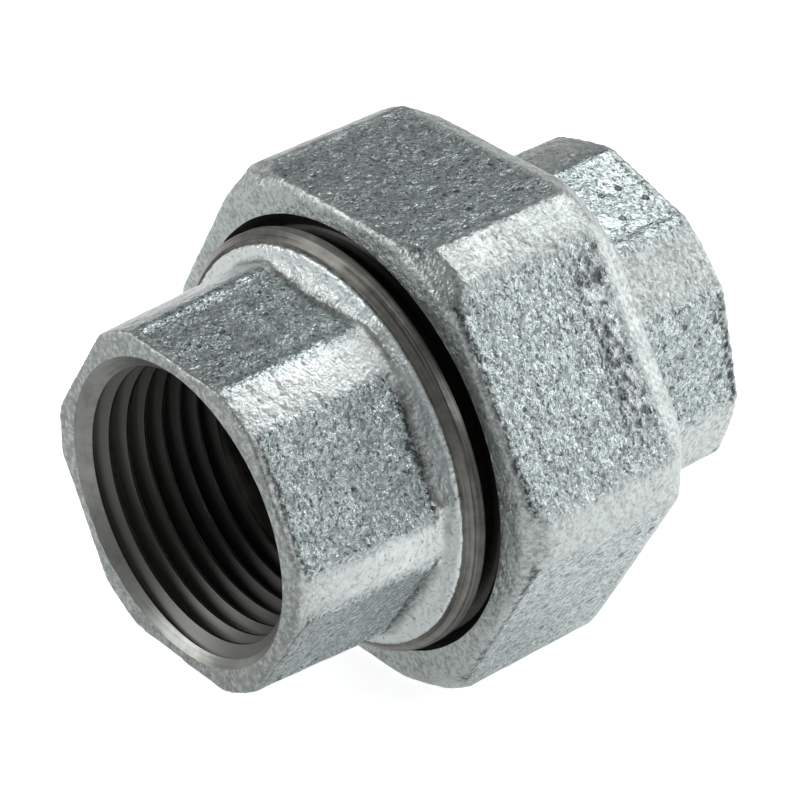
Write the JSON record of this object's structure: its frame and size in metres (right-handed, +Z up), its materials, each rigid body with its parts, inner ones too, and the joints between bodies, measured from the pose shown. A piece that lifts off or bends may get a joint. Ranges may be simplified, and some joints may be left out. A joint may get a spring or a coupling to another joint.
{
  "type": "pipe union",
  "caption": "Hexagonal cast-iron pipe union with a threaded socket at each end, drawn together on a conical seat by a captive union nut.",
  "frame": {"origin": "on the fitting's axis, midway between the two pipe mouths", "axes": "+Y along the axis from the screwed end's mouth to the bush's mouth, +Z up, with the fitting lying on a flat of its nut"},
  "size_m": [0.0594, 0.06, 0.0534],
  "materials": {
    "galvanised_iron": "hot-dip zinc, rough and mottled, bare on the machined threads"
  },
  "bodies": {
    "screwed_end": {"screwed_end": "galvanised_iron"},
    "union_bush": {"union_bush": "galvanised_iron"},
    "union_nut": {"union_nut": "galvanised_iron"}
  },
  "joints": [
    {"name": "bush_slide", "type": "slide", "parent": "screwed_end", "child": "union_bush", "axis": [0, 1, 0], "range_m": [0, 0.00925]},
    {"name": "nut_turn", "type": "hinge", "parent": "union_bush", "child": "union_nut", "pos_m": [0, 0.0033, 0], "axis": [0, 1, 0], "range_deg": [0, 1440]}
  ],
  "couplings": [
    {"joint": "bush_slide", "follows": "nut_turn", "m_per_rad": 0.00036749}
  ]
}
